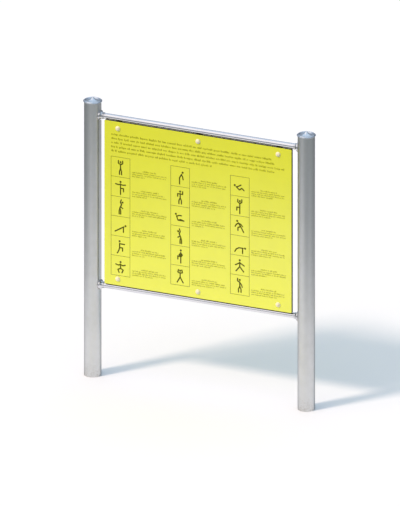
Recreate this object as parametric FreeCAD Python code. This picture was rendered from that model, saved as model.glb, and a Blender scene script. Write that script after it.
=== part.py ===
import FreeCAD, Part
import math
import os
from FreeCAD import Placement, Rotation, Vector

# Park sign: two round posts, two rails between them, and a three-layer panel
# bolted to lugs on the rails. Millimetres, +Z up, the front faces -Y. The origin
# is on the ground, midway between the posts.

# Panel
panel_width = 1200.0
panel_height = 1013.0
panel_ground_clearance = 587.0
core_thickness = 15.0
skin_thickness = 2.0
panel_corner_radius = 4.0
skin_edge_chamfer = 0.8

# Posts and how far they stand from the panel and above the top rail
post_diameter = 101.6
post_wall = 3.6
panel_side_gap = 34.2
post_above_rail = 78.5

# Caps on the posts
cap_seat_cut = 1.0
cap_seat_depth = 32.0
cap_seat_clearance = 0.3
cap_overhang = 5.2
cap_plate = 4.5
cap_plate_rise = 1.0
cap_rim_rounding = 1.5
cap_bead_from_rim = 3.5
cap_bead_width = 11.0
cap_bead_rise = 5.0
cap_cone_radius = 30.0
cap_cone_rise = 19.0
cap_nose_radius = 3.0
cap_nose_rise = 1.5
cap_cone_hollow = 2.6
cap_cone_wall = 3.5
cap_cone_top_wall = 7.0
cap_spigot_length = 28.0
cap_spigot_wall = 6.0
seal_section = 3.6
seal_groove_width = 4.2
seal_below_plate = 16.0

# Rails
rail_diameter = 33.7
rail_wall = 2.6
rail_gap_above_panel = 0.5
rail_gap_below_panel = 2.5
rail_end_gap = 1.5

# Rail collars welded to the posts
collar_flange_diameter = 58.0
collar_flange_land = 4.0
collar_neck_diameter = 39.0
collar_neck_length = 9.0
collar_length = 24.0
collar_flare_hollow = 1.2
collar_edge_chamfer = 0.8
rail_socket_clearance = 0.2

# Set screws that lock each rail in its collar
set_screw_diameter = 6.0
set_screw_length = 6.0
set_screw_from_post = 9.0
set_screw_socket_flats = 3.0
set_screw_socket_depth = 2.5

# Lugs welded to the rails
lug_thickness = 6.0
lug_width = 40.0

# Panel fasteners
bolt_side_distance = 86.0
bolt_edge_distance = 40.0
bolt_diameter = 10.0
bolt_hole_clearance = 0.5
bolt_head_flats = 16.0
bolt_head_height = 6.4
bolt_head_chamfer_angle = 30.0
bolt_thread_clearance = 0.1
bolt_thread_left = 3.0
nut_height = 6.5
nut_collar_diameter = 14.0
nut_collar_height = 2.5
washer_diameter = 20.0
washer_thickness = 2.0
cap_base_diameter = 25.0
cap_base_thickness = 2.5
dome_diameter = 30.0
dome_height = 13.0
dome_skirt = 1.5
dome_wall = 1.7
dome_snap_clearance = 0.2

# Routed pictograms: three columns of framed cells, each with a figure
cell_columns = 3
cell_rows = 6
cell_width = 121.0
cell_height = 122.3
column_pitch = 382.5
cells_from_left = 43.0
cells_from_top = 217.0
groove_depth = 1.2
frame_groove_width = 2.2
limb_width = 7.8
head_radius = 6.5
torso_length = 27.0
shoulder_drop = 3.0
arm_length = 16.0
leg_length = 19.0

# How far a cutting tool runs past what it cuts, and how close counts as the same place
tool_overrun = 2.0
same_place = 1e-4

# Worked-out sizes
panel_thickness = core_thickness + 2.0 * skin_thickness
panel_back = -lug_thickness / 2.0
panel_front = panel_back - panel_thickness
panel_bottom = panel_ground_clearance
panel_top = panel_bottom + panel_height
post_radius = post_diameter / 2.0
post_bore_radius = post_radius - post_wall
post_x = panel_width / 2.0 + panel_side_gap + post_radius
post_face_x = post_x - post_radius
rail_radius = rail_diameter / 2.0
rail_heights = {
    "top": panel_top + rail_gap_above_panel + rail_radius,
    "bottom": panel_bottom - rail_gap_below_panel - rail_radius,
}
post_height = rail_heights["top"] + post_above_rail
cap_seat_radius = post_bore_radius + cap_seat_cut
collar_flange_radius = collar_flange_diameter / 2.0
lug_radius = lug_width / 2.0
bolt_radius = bolt_diameter / 2.0
bolt_rows = {
    "top": panel_top - bolt_edge_distance,
    "bottom": panel_bottom + bolt_edge_distance,
}
bolt_columns = {
    "left": bolt_side_distance - panel_width / 2.0,
    "middle": 0.0,
    "right": panel_width / 2.0 - bolt_side_distance,
}
side_signs = {"left": -1.0, "right": 1.0}

up = Vector(0, 0, 1)
to_right = Vector(1, 0, 0)
to_front = Vector(0, -1, 0)
to_back = Vector(0, 1, 0)
origin = Vector(0, 0, 0)


def moved(shape, x=0.0, y=0.0, z=0.0, axis=up, degrees=0.0):
    """The shape turned about an axis through the origin and then moved."""
    placed = shape.copy()
    placed.Placement = Placement(Vector(x, y, z), Rotation(axis, degrees)).multiply(shape.Placement)
    return placed


def line(start, end):
    """A straight edge between two (radius, height) points."""
    return Part.makeLine(Vector(start[0], 0, start[1]), Vector(end[0], 0, end[1]))


def arc(start, middle, end):
    """An arc through three (radius, height) points."""
    points = [Vector(point[0], 0, point[1]) for point in (start, middle, end)]
    return Part.Arc(*points).toShape()


def turned(edges):
    """A solid turned about Z from the edges of its half section."""
    return Part.Face(Part.Wire(edges)).revolve(origin, up, 360)


def polyline(points):
    """Straight edges through (radius, height) points."""
    return [line(start, end) for start, end in zip(points[:-1], points[1:])]


def bulged(start, end, bulge):
    """An arc from start to end that stands off their chord by bulge, to the left."""
    run = end[0] - start[0]
    rise = end[1] - start[1]
    chord = math.hypot(run, rise)
    middle = (
        (start[0] + end[0]) / 2.0 - bulge * rise / chord,
        (start[1] + end[1]) / 2.0 + bulge * run / chord,
    )
    return arc(start, middle, end)


def crown(radius, low, high):
    """An arc from a radius and low height up to the axis, level where it meets it."""
    rise = high - low
    sphere = (radius**2 + rise**2) / (2.0 * rise)
    half_turn = math.atan2(radius, sphere - rise) / 2.0
    middle = (sphere * math.sin(half_turn), high - sphere + sphere * math.cos(half_turn))
    return arc((radius, low), middle, (0, high))


def ring(outer_radius, inner_radius, length):
    """A straight tube standing on the XY plane."""
    return Part.makeCylinder(outer_radius, length).cut(Part.makeCylinder(inner_radius, length))


def hexagon(across_flats, length):
    """A hexagonal bar standing on the XY plane."""
    corner_radius = across_flats / math.sqrt(3.0)
    corners = [Rotation(up, 60.0 * turn).multVec(Vector(corner_radius, 0, 0)) for turn in range(7)]
    return Part.Face(Part.makePolygon(corners)).extrude(Vector(0, 0, length))


def chamfered_hexagon(across_flats, length):
    """A hexagonal bar whose top corners are turned off at an angle."""
    corner_radius = across_flats / math.sqrt(3.0)
    slope = math.tan(math.radians(bolt_head_chamfer_angle))
    corner_drop = (corner_radius - across_flats / 2.0) * slope
    outline = [
        (0, 0),
        (corner_radius, 0),
        (corner_radius, length - corner_drop),
        (across_flats / 2.0, length),
        (0, length),
        (0, 0),
    ]
    return hexagon(across_flats, length).common(turned(polyline(outline)))


def make_post():
    """A round tube, bored out at the top to seat its cap."""
    seat = Part.makeCylinder(cap_seat_radius, cap_seat_depth, Vector(0, 0, post_height - cap_seat_depth))
    return ring(post_radius, post_bore_radius, post_height).cut(seat)


def make_post_cap():
    """A turned cap: a plate with a round bead and a cone on it, over a grooved spigot."""
    rim = post_radius + cap_overhang
    rounding = cap_rim_rounding
    corner = rounding * (1.0 - math.sqrt(0.5))
    bead_outer = rim - cap_bead_from_rim
    bead_inner = bead_outer - cap_bead_width
    bead_middle = (bead_outer + bead_inner) / 2.0
    crest = cap_plate + cap_bead_rise
    apex = crest + cap_cone_rise
    nose_base = apex - cap_nose_rise
    spigot_radius = cap_seat_radius - cap_seat_clearance
    spigot_bore = spigot_radius - cap_spigot_wall
    hollow_radius = cap_cone_radius - cap_cone_wall
    cone_base = cap_plate + cap_plate_rise
    edges = [
        line((spigot_radius, 0), (rim - rounding, 0)),
        arc((rim - rounding, 0), (rim - corner, corner), (rim, rounding)),
        line((rim, rounding), (rim, cap_plate - rounding)),
        arc((rim, cap_plate - rounding), (rim - corner, cap_plate - corner), (rim - rounding, cap_plate)),
        line((rim - rounding, cap_plate), (bead_outer, cap_plate)),
        arc((bead_outer, cap_plate), (bead_middle, crest), (bead_inner, cap_plate)),
        line((bead_inner, cap_plate), (cap_cone_radius, cone_base)),
        bulged((cap_cone_radius, cone_base), (cap_nose_radius, nose_base), cap_cone_hollow),
        crown(cap_nose_radius, nose_base, apex),
        line((0, apex), (0, apex - cap_cone_top_wall)),
    ]
    edges += polyline(
        [
            (0, apex - cap_cone_top_wall),
            (hollow_radius, 0),
            (spigot_bore, 0),
            (spigot_bore, -cap_spigot_length),
            (spigot_radius, -cap_spigot_length),
            (spigot_radius, 0),
        ]
    )
    cap = turned(edges)
    groove_floor = cap_seat_radius - seal_section
    groove = ring(cap_seat_radius + tool_overrun, groove_floor, seal_groove_width)
    return cap.cut(moved(groove, z=-seal_below_plate - seal_groove_width / 2.0))


def make_cap_seal():
    """A round rubber ring in the spigot's groove, against the post's seat."""
    centre_radius = cap_seat_radius - seal_section / 2.0
    return Part.makeTorus(centre_radius, seal_section / 2.0)


def make_rail():
    """A round tube along X, short of the posts by the gap at each end."""
    length = 2.0 * (post_face_x - rail_end_gap)
    tube = ring(rail_radius, rail_radius - rail_wall, length)
    return moved(tube, x=-length / 2.0, axis=to_back, degrees=90)


def post_cylinder(sign):
    """The outside of one post as a solid, to cut saddles with."""
    return Part.makeCylinder(post_radius, post_height, Vector(sign * post_x, 0, 0))


def make_collar(sign, height):
    """A flared collar, saddle-cut to the post, that the rail's end slides into."""
    socket_radius = rail_radius + rail_socket_clearance
    neck_radius = collar_neck_diameter / 2.0
    neck_start = collar_length - collar_neck_length
    saddle_depth = post_radius - math.sqrt(post_radius**2 - collar_flange_radius**2)
    root = -saddle_depth - tool_overrun
    tip_radius = neck_radius - collar_edge_chamfer
    edges = polyline(
        [(socket_radius, root), (collar_flange_radius, root), (collar_flange_radius, collar_flange_land)]
    )
    edges.append(
        bulged(
            (collar_flange_radius, collar_flange_land),
            (neck_radius, neck_start),
            collar_flare_hollow,
        )
    )
    edges += polyline(
        [
            (neck_radius, neck_start),
            (neck_radius, collar_length - collar_edge_chamfer),
            (tip_radius, collar_length),
            (socket_radius, collar_length),
            (socket_radius, root),
        ]
    )
    turned_collar = turned(edges)
    placed = moved(turned_collar, sign * post_face_x, 0, height, to_back, -90.0 * sign)
    return placed.cut(post_cylinder(sign)).cut(set_screw_hole(sign, height))


def set_screw_x(sign):
    """Where a collar's set screw stands along the rail."""
    return sign * (post_face_x - set_screw_from_post)


def set_screw_hole(sign, height):
    """The threaded hole up through the underside of a collar."""
    start = Vector(set_screw_x(sign), 0, height - collar_flange_radius)
    return Part.makeCylinder(set_screw_diameter / 2.0, collar_flange_radius, start)


def make_set_screw(sign, height):
    """A headless screw whose tip bears on the underside of the rail."""
    radius = set_screw_diameter / 2.0 - bolt_thread_clearance
    screw = Part.makeCylinder(radius, set_screw_length)
    key_socket = hexagon(set_screw_socket_flats, set_screw_socket_depth)
    return moved(
        screw.cut(key_socket), set_screw_x(sign), 0, height - rail_radius - set_screw_length
    )


def make_lug(row, column):
    """A flat lug from the rail to the bolt, rounded at its end and coped to the rail."""
    rail_z = rail_heights[row]
    bolt_z = bolt_rows[row]
    x = bolt_columns[column]
    low = min(rail_z, bolt_z)
    plate = Part.makeBox(
        lug_width, lug_thickness, abs(rail_z - bolt_z), Vector(x - lug_radius, panel_back, low)
    )
    start = Vector(x, panel_back, bolt_z)
    rounded_end = Part.makeCylinder(lug_radius, lug_thickness, start, to_back)
    rail = Part.makeCylinder(
        rail_radius, 2.0 * lug_width, Vector(x - lug_width, 0, rail_z), to_right
    )
    hole_radius = bolt_radius + bolt_hole_clearance
    hole = Part.makeCylinder(hole_radius, lug_thickness, start, to_back)
    return plate.fuse(rounded_end).removeSplitter().cut(rail).cut(hole)


def panel_sheet(back, thickness):
    """One layer of the panel, with rounded corners and the six bolt holes."""
    left = -panel_width / 2.0
    sheet = Part.makeBox(panel_width, thickness, panel_height, Vector(left, back - thickness, panel_bottom))
    corners = [edge for edge in sheet.Edges if edge.BoundBox.YLength > thickness / 2.0]
    sheet = sheet.makeFillet(panel_corner_radius, corners)
    hole_radius = bolt_radius + bolt_hole_clearance
    for z in bolt_rows.values():
        for x in bolt_columns.values():
            sheet = sheet.cut(Part.makeCylinder(hole_radius, thickness, Vector(x, back, z), to_front))
    return sheet


def edges_on_outline(sheet, y):
    """The sheet's outer edges that lie in the plane at y."""
    found = []
    for edge in sheet.Edges:
        box = edge.BoundBox
        in_plane = max(abs(box.YMin - y), abs(box.YMax - y)) < same_place
        on_side = max(abs(box.XMin), abs(box.XMax)) > panel_width / 2.0 - panel_corner_radius - same_place
        on_end = min(box.ZMin - panel_bottom, panel_top - box.ZMax) < same_place
        if in_plane and (on_side or on_end):
            found.append(edge)
    return found


def slot(start, end, width):
    """A round-ended slot of the groove's depth between two (x, z) points on the face."""
    run = end[0] - start[0]
    rise = end[1] - start[1]
    length = math.hypot(run, rise)
    radius = width / 2.0
    body = Part.makeCylinder(radius, groove_depth)
    if length > same_place:
        strip = Part.makeBox(length, width, groove_depth, Vector(0, -radius, 0))
        body = body.fuse([strip, Part.makeCylinder(radius, groove_depth, Vector(length, 0, 0))])
    flat = moved(body, axis=up, degrees=math.degrees(math.atan2(rise, run)))
    return moved(flat, start[0], panel_front + groove_depth, start[1], to_right, 90)


def ladder(left, top):
    """The frame of one column of cells: two uprights and the rungs between them."""
    right = left + cell_width
    bottom = top - cell_rows * cell_height
    half = frame_groove_width / 2.0
    bars = [
        (left - half, bottom - half, frame_groove_width, top - bottom + frame_groove_width),
        (right - half, bottom - half, frame_groove_width, top - bottom + frame_groove_width),
    ]
    for rung in range(cell_rows + 1):
        height = top - rung * cell_height
        bars.append((left - half, height - half, cell_width + frame_groove_width, frame_groove_width))
    solids = [
        Part.makeBox(width, groove_depth, height, Vector(x, panel_front, z))
        for x, z, width, height in bars
    ]
    return solids[0].fuse(solids[1:])


def reach(start, degrees, length):
    """The point at a length from start, at an angle clockwise from straight up."""
    angle = math.radians(degrees)
    return (start[0] + length * math.sin(angle), start[1] + length * math.cos(angle))


def figure(hip, spine, arms, legs):
    """A plain exercise figure: limbs are slots that turn at elbow and knee.

    Angles run clockwise from straight up. Each arm and leg gives its upper and
    lower angle.
    """
    neck = reach(hip, spine, torso_length)
    head = reach(neck, spine, head_radius + limb_width / 2.0 + frame_groove_width)
    shoulders = reach(neck, spine + 180.0, shoulder_drop)
    strokes = [slot(hip, neck, limb_width), slot(head, head, 2.0 * head_radius)]
    for start, limbs, length in ((shoulders, arms, arm_length), (hip, legs, leg_length)):
        for upper, lower in limbs:
            joint = reach(start, upper, length)
            strokes.append(slot(start, joint, limb_width))
            strokes.append(slot(joint, reach(joint, lower, length), limb_width))
    return strokes[0].fuse(strokes[1:])


# Poses of the figures, column by column: hip offset from the cell's centre in x
# and z, the spine's angle, then both arms and both legs.
figure_poses = [
    ((0, -8), 0, ((60, 0), (-60, 0)), ((160, 180), (-160, 180))),
    ((0, -8), 0, ((100, 80), (-100, -80)), ((180, 180), (90, 180))),
    ((-4, -8), 25, ((-25, 20), (-160, 120)), ((165, 180), (-165, 180))),
    ((-2, -14), 59, ((180, 180), (180, 180)), ((-121, -121), (-121, -121))),
    ((-6, -10), 0, ((90, 90), (90, 90)), ((90, 180), (-165, -150))),
    ((0, -16), 0, ((110, 70), (-110, -70)), ((115, 205), (-115, -205))),
    ((-4, -6), 30, ((150, 170), (150, 170)), ((180, 180), (180, 180))),
    ((0, -8), 0, ((90, 0), (-90, 180)), ((155, 180), (-155, 180))),
    ((-14, -26), -20, ((60, 90), (60, 90)), ((90, 90), (70, 110))),
    ((4, -8), -25, ((25, -20), (160, -120)), ((165, 180), (-165, 180))),
    ((4, -6), 0, ((-140, 140), (140, -140)), ((-80, 180), (180, 180))),
    ((0, -10), 0, ((70, -15), (-70, 15)), ((150, 150), (-150, -150))),
    ((-2, -22), -50, ((60, 60), (60, 60)), ((50, 130), (50, 130))),
    ((0, -8), 0, ((55, 0), (-55, 0)), ((180, 180), (-90, -180))),
    ((6, -4), -35, ((-120, -150), (110, 140)), ((-110, 180), (150, 150))),
    ((-6, -14), 90, ((180, 180), (180, 180)), ((-120, -150), (-120, -150))),
    ((0, -8), 0, ((120, 120), (-120, -120)), ((140, 140), (-140, -140))),
    ((0, -8), 0, ((140, 160), (-60, 0)), ((155, 180), (-155, 180))),
]


def routed_grooves():
    """The ladders of cells and the figure in each cell."""
    tools = []
    top = panel_top - cells_from_top
    for column in range(cell_columns):
        left = cells_from_left - panel_width / 2.0 + column * column_pitch
        tools.append(ladder(left, top))
        for row in range(cell_rows):
            offset, spine, arms, legs = figure_poses[column * cell_rows + row]
            centre_x = left + cell_width / 2.0
            centre_z = top - (row + 0.5) * cell_height
            hip = (centre_x + offset[0], centre_z + offset[1])
            tools.append(figure(hip, spine, arms, legs))
    return tools


def make_front_skin():
    """The front layer, with its outer edge eased and the pictograms routed in."""
    skin = panel_sheet(panel_front + skin_thickness, skin_thickness)
    skin = skin.makeChamfer(skin_edge_chamfer, edges_on_outline(skin, panel_front))
    return skin.cut(routed_grooves())


def make_back_skin():
    """The back layer, with its outer edge eased."""
    skin = panel_sheet(panel_back, skin_thickness)
    return skin.makeChamfer(skin_edge_chamfer, edges_on_outline(skin, panel_back))


def make_core():
    """The middle layer of the panel."""
    return panel_sheet(panel_back - skin_thickness, core_thickness)


def make_cap_base():
    """The plastic washer under the bolt's head that the dome snaps onto."""
    return ring(cap_base_diameter / 2.0, bolt_radius + bolt_hole_clearance, cap_base_thickness)


def make_dome():
    """The dome that snaps over the bolt's head and closes on the panel's face."""
    outer = dome_diameter / 2.0
    inner = cap_base_diameter / 2.0 + dome_snap_clearance
    inner_top = dome_height - dome_wall
    return turned(
        [
            line((inner, 0), (outer, 0)),
            line((outer, 0), (outer, dome_skirt)),
            crown(outer, dome_skirt, dome_height),
            line((0, dome_height), (0, inner_top)),
            crown(inner, dome_skirt, inner_top),
            line((inner, dome_skirt), (inner, 0)),
        ]
    )


def make_bolt():
    """A hexagon bolt: the head stands on the XY plane and the shank runs down."""
    grip = cap_base_thickness + panel_thickness + lug_thickness + washer_thickness
    length = grip + nut_height + nut_collar_height + bolt_thread_left
    shank = Part.makeCylinder(bolt_radius, length, Vector(0, 0, -length))
    return chamfered_hexagon(bolt_head_flats, bolt_head_height).fuse(shank)


def make_washer():
    """A flat washer."""
    return ring(washer_diameter / 2.0, bolt_radius + bolt_hole_clearance, washer_thickness)


def make_nut():
    """A locking nut: a hexagon with a round collar above it."""
    collar = Part.makeCylinder(nut_collar_diameter / 2.0, nut_collar_height, Vector(0, 0, nut_height))
    thread = Part.makeCylinder(bolt_radius + bolt_thread_clearance, nut_height + nut_collar_height)
    return chamfered_hexagon(bolt_head_flats, nut_height).fuse(collar).cut(thread)


def facing_front(shape, x, y, z):
    """A turned part with its +Z end pointing to the front."""
    return moved(shape, x, y, z, to_right, 90)


def facing_back(shape, x, y, z):
    """A turned part with its +Z end pointing to the back."""
    return moved(shape, x, y, z, to_right, -90)


def post_parts():
    """Posts, caps and seals."""
    made = {}
    for side, sign in side_signs.items():
        x = sign * post_x
        made[side + "_post"] = moved(make_post(), x=x)
        made[side + "_post_cap"] = moved(make_post_cap(), x=x, z=post_height)
        made[side + "_cap_seal"] = moved(make_cap_seal(), x=x, z=post_height - seal_below_plate)
    return made


def rail_parts():
    """Rails, with a collar and a set screw at each end."""
    made = {}
    for row, height in rail_heights.items():
        made[row + "_rail"] = moved(make_rail(), z=height)
        for side, sign in side_signs.items():
            made["_".join((row, side, "rail_collar"))] = make_collar(sign, height)
            made["_".join((row, side, "set_screw"))] = make_set_screw(sign, height)
    return made


def panel_parts():
    """The three layers of the panel."""
    return {
        "panel_front_skin": make_front_skin(),
        "panel_core": make_core(),
        "panel_back_skin": make_back_skin(),
    }


def fixing_parts():
    """At each of the six fixing points: lug, bolt, cap base, dome, washer and nut."""
    made = {}
    lug_back = panel_back + lug_thickness
    for row, z in bolt_rows.items():
        for column, x in bolt_columns.items():
            place = "_".join((row, column, ""))
            made[place + "lug"] = make_lug(row, column)
            made[place + "bolt"] = facing_front(make_bolt(), x, panel_front - cap_base_thickness, z)
            made[place + "bolt_cap_base"] = facing_front(make_cap_base(), x, panel_front, z)
            made[place + "bolt_cap"] = facing_front(make_dome(), x, panel_front, z)
            made[place + "washer"] = facing_back(make_washer(), x, lug_back, z)
            made[place + "nut"] = facing_back(make_nut(), x, lug_back + washer_thickness, z)
    return made


def main():
    """Builds every piece and writes each to its own file."""
    os.makedirs("parts", exist_ok=True)
    pieces = {}
    for group in (post_parts, rail_parts, panel_parts, fixing_parts):
        pieces.update(group())
    for name, shape in pieces.items():
        shape.exportStep(os.path.join("parts", name + ".step"))
        print(name, "solids", len(shape.Solids), "valid", shape.isValid(), "mm3", round(shape.Volume))


main()
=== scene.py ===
"""A park sign: two satin posts, two bright rails and a yellow routed panel, in daylight.

Metres, +Z up, and the panel's printed front faces -Y, in the same frame as the solids. The floor is
white near the sign and mid-grey further off: a painted pool of light, which the steel mirrors.
"""

import logging
import math
from dataclasses import dataclass, field
from enum import Enum
from typing import Any

import bpy
import numpy as np
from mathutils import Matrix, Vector


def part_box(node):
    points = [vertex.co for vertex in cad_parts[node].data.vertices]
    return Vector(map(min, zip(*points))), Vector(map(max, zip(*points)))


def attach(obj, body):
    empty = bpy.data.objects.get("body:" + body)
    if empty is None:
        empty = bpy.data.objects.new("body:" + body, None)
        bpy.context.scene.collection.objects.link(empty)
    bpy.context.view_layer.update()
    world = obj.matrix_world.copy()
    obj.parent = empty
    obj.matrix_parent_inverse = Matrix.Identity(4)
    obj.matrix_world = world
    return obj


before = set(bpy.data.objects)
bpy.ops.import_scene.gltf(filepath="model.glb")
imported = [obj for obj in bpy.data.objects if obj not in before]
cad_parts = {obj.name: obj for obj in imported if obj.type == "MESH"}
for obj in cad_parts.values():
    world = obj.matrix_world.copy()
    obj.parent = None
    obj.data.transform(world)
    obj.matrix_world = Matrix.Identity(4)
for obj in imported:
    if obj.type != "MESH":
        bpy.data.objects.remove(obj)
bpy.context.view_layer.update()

LOG = logging.getLogger("park_sign")
MM = 0.001

# A direction that no bead's path runs along.
BEAD_REFERENCE = (0.31, 0.2, 0.93)

# The curve of screen colours: a straight toe, then a power.
FULL_CHANNEL = 255.0
TOE_END = 0.04045
TOE_SLOPE = 12.92
CURVE_OFFSET = 0.055
CURVE_POWER = 2.4

Colour = tuple[float, float, float]
Triple = tuple[float, float, float]
Span = tuple[float, float]


class Place(Enum):
    """A place on the sign."""

    @property
    def word(self) -> str:
        """The place's name in lower case, as node names use it."""
        return self.name.lower()


class Side(Place):
    """The two ends of the sign, as signs along X."""

    LEFT = -1
    RIGHT = 1


class Row(Place):
    """The upper and lower rail, with the way that each one's lugs point."""

    TOP = -1
    BOTTOM = 1


class Column(Place):
    """The three places along a rail where the panel is bolted, as signs along X."""

    LEFT = -1
    MIDDLE = 0
    RIGHT = 1


def srgb(red: int, green: int, blue: int) -> Colour:
    """Turns a screen colour into the linear colour that shaders use.

    Args:
        red: Red from 0 to 255.
        green: Green from 0 to 255.
        blue: Blue from 0 to 255.

    Returns:
        The linear colour: the power 2.4 of each share past the short straight toe.
    """
    shares = np.array([red, green, blue]) / FULL_CHANNEL
    curve = ((shares + CURVE_OFFSET) / (1.0 + CURVE_OFFSET)) ** CURVE_POWER
    linear = np.where(shares <= TOE_END, shares / TOE_SLOPE, curve)
    return tuple(float(value) for value in linear)


class Graph:
    """A node tree with short ways to add and join nodes."""

    def __init__(self, tree: bpy.types.NodeTree) -> None:
        """Empties the tree and keeps it.

        Args:
            tree: The tree to fill.
        """
        self.tree = tree
        tree.nodes.clear()

    def add(self, kind: str, inputs: dict[Any, Any] | None = None, **settings: Any) -> bpy.types.Node:
        """Adds one node.

        Args:
            kind: The node's type name without its ShaderNode prefix.
            inputs: Values or sockets by input name or number.
            settings: Properties to set on the node.

        Returns:
            The new node.
        """
        node = self.tree.nodes.new("ShaderNode" + kind)
        for name, value in settings.items():
            setattr(node, name, value)
        for key, value in (inputs or {}).items():
            self.feed(node.inputs[key], value)
        return node

    def feed(self, socket: bpy.types.NodeSocket, value: Any) -> None:
        """Joins a socket to an input, or sets the input's value.

        Args:
            socket: The input.
            value: An output socket, a number, or a tuple of numbers.
        """
        if isinstance(value, bpy.types.NodeSocket):
            self.tree.links.new(value, socket)
        elif isinstance(value, tuple) and socket.type == "RGBA":
            socket.default_value = (*value[:3], 1.0)
        else:
            socket.default_value = value

    def math(self, operation: str, first: Any, second: Any = 0.0) -> bpy.types.NodeSocket:
        """Adds a Math node and returns its output."""
        return self.add("Math", {0: first, 1: second}, operation=operation).outputs[0]

    def ramp(self, value: Any, low: float, high: float, start: float = 0.0, end: float = 1.0) -> Any:
        """Adds a clamped Map Range from low..high to start..end and returns its output."""
        settings = {"Value": value, 1: low, 2: high, 3: start, 4: end}
        return self.add("MapRange", settings).outputs[0]

    def ease(self, value: Any, low: float, high: float, start: float = 0.0, end: float = 1.0) -> Any:
        """Adds a Map Range from low..high to start..end with soft ends and returns its output."""
        settings = {"Value": value, 1: low, 2: high, 3: start, 4: end}
        return self.add("MapRange", settings, interpolation_type="SMOOTHSTEP").outputs[0]

    def dot(self, vector: Any, direction: Vector) -> bpy.types.NodeSocket:
        """Adds the share of a vector along a fixed direction and returns its output."""
        settings = {0: vector, 1: tuple(direction)}
        return self.add("VectorMath", settings, operation="DOT_PRODUCT").outputs["Value"]

    def weigh(self, share: float, first: Any, second: Any) -> bpy.types.NodeSocket:
        """Adds up a share of one value and the rest of another and returns the sum."""
        rest = self.math("MULTIPLY", second, 1.0 - share)
        return self.math("ADD", self.math("MULTIPLY", first, share), rest)

    def blend(self, share: Any, first: Any, second: Any) -> bpy.types.NodeSocket:
        """Mixes two colours.

        Args:
            share: How much of the second colour the mix has, from 0 to 1.
            first: The colour at 0.
            second: The colour at 1.

        Returns:
            The mix.
        """
        node = self.add("Mix", data_type="RGBA")
        for name, value in (("Factor_Float", share), ("A_Color", first), ("B_Color", second)):
            self.feed(next(s for s in node.inputs if s.identifier == name), value)
        return next(s for s in node.outputs if s.identifier == "Result_Color")

    def object_axes(self) -> tuple[Any, Any, Any, Any]:
        """Adds the Object coordinate.

        Returns:
            The coordinate as a vector, then its X, Y and Z.
        """
        vector = self.add("TexCoord").outputs["Object"]
        parts = self.add("SeparateXYZ", {0: vector}).outputs
        return vector, parts[0], parts[1], parts[2]


class EffectLibrary:
    """Shader node groups that several finishes share, each made once."""

    coarse_stretch: float = 0.31
    fine_smudge: float = 5.0
    smudge_span: Span = (0.16, 0.36)
    speckle_scale: float = 90.0
    spot_span: Span = (0.42, 0.66)

    def __init__(self) -> None:
        """Makes the groups."""
        self.grain = self.make_grain()
        self.smudge = self.make_smudge()
        self.peel = self.make_peel()
        self.wear = self.make_wear()

    @staticmethod
    def start(name: str, setting: str, default: float, result: str) -> tuple[Graph, Any, Any, Any]:
        """Makes an empty group that will turn a vector and one setting into one number.

        Args:
            name: The group's name.
            setting: The setting's name.
            default: The setting's value where a material gives none.
            result: The name of the number.

        Returns:
            The graph and the sockets of the vector, the setting and the number.
        """
        tree = bpy.data.node_groups.new(name, "ShaderNodeTree")
        tree.interface.new_socket("Vector", in_out="INPUT", socket_type="NodeSocketVector")
        given = tree.interface.new_socket(setting, in_out="INPUT", socket_type="NodeSocketFloat")
        given.default_value = default
        tree.interface.new_socket(result, in_out="OUTPUT", socket_type="NodeSocketFloat")
        graph = Graph(tree)
        inputs = tree.nodes.new("NodeGroupInput").outputs
        return graph, inputs[0], inputs[1], tree.nodes.new("NodeGroupOutput").inputs[0]

    def make_grain(self) -> bpy.types.NodeTree:
        """Brushed lines: the mean of two noises on a stretched vector, one fine and one broken.

        Returns:
            The group.
        """
        graph, vector, breaks, height = self.start("brushed_grain", "Breaks", 3.0, "Height")
        fine = graph.add("TexNoise", {"Vector": vector, "Scale": 1.0, "Detail": 2.0})
        stretch = {0: vector, 1: (self.coarse_stretch,) * 3}
        longer = graph.add("VectorMath", stretch, operation="MULTIPLY").outputs[0]
        coarse = graph.add("TexNoise", {"Vector": longer, "Scale": 1.0, "Detail": breaks})
        graph.feed(height, graph.weigh(0.5, fine.outputs[0], coarse.outputs[0]))
        return graph.tree

    def make_smudge(self) -> bpy.types.NodeTree:
        """Soft blotches: a broad noise and a finer one multiplied and stretched to a mask.

        Returns:
            The group.
        """
        graph, vector, scale, mask = self.start("handling_smudge", "Scale", 6.0, "Mask")
        broad = graph.add("TexNoise", {"Vector": vector, "Scale": scale, "Detail": 3.0})
        tight = graph.math("MULTIPLY", scale, self.fine_smudge)
        fine = graph.add("TexNoise", {"Vector": vector, "Scale": tight, "Detail": 4.0})
        product = graph.math("MULTIPLY", broad.outputs[0], fine.outputs[0])
        graph.feed(mask, graph.ramp(product, *self.smudge_span))
        return graph.tree

    def make_peel(self) -> bpy.types.NodeTree:
        """Orange-peel skin: rounded cells from a smooth Voronoi, roughened with a little noise.

        Returns:
            The group.
        """
        graph, vector, scale, height = self.start("orange_peel", "Scale", 700.0, "Height")
        pattern = {"Vector": vector, "Scale": scale}
        cells = graph.add("TexVoronoi", pattern | {"Smoothness": 0.6}, feature="SMOOTH_F1")
        noise = graph.add("TexNoise", pattern | {"Detail": 2.0})
        graph.feed(height, graph.math("ADD", cells.outputs["Distance"], noise.outputs[0]))
        return graph.tree

    def make_wear(self) -> bpy.types.NodeTree:
        """Dust and splashes that thin out upwards: noise fades to nothing over a height.

        Returns:
            The group.
        """
        graph, vector, reach, mask = self.start("ground_splash", "Reach", 0.2, "Mask")
        height = graph.add("SeparateXYZ", {0: vector}).outputs[2]
        fade = graph.ramp(graph.math("DIVIDE", height, reach), 0.0, 1.0, 1.0, 0.0)
        speckle = graph.add("TexNoise", {"Vector": vector, "Scale": self.speckle_scale, "Detail": 5.0})
        spots = graph.ramp(speckle.outputs[0], *self.spot_span)
        graph.feed(mask, graph.math("MULTIPLY", fade, spots))
        return graph.tree


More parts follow.
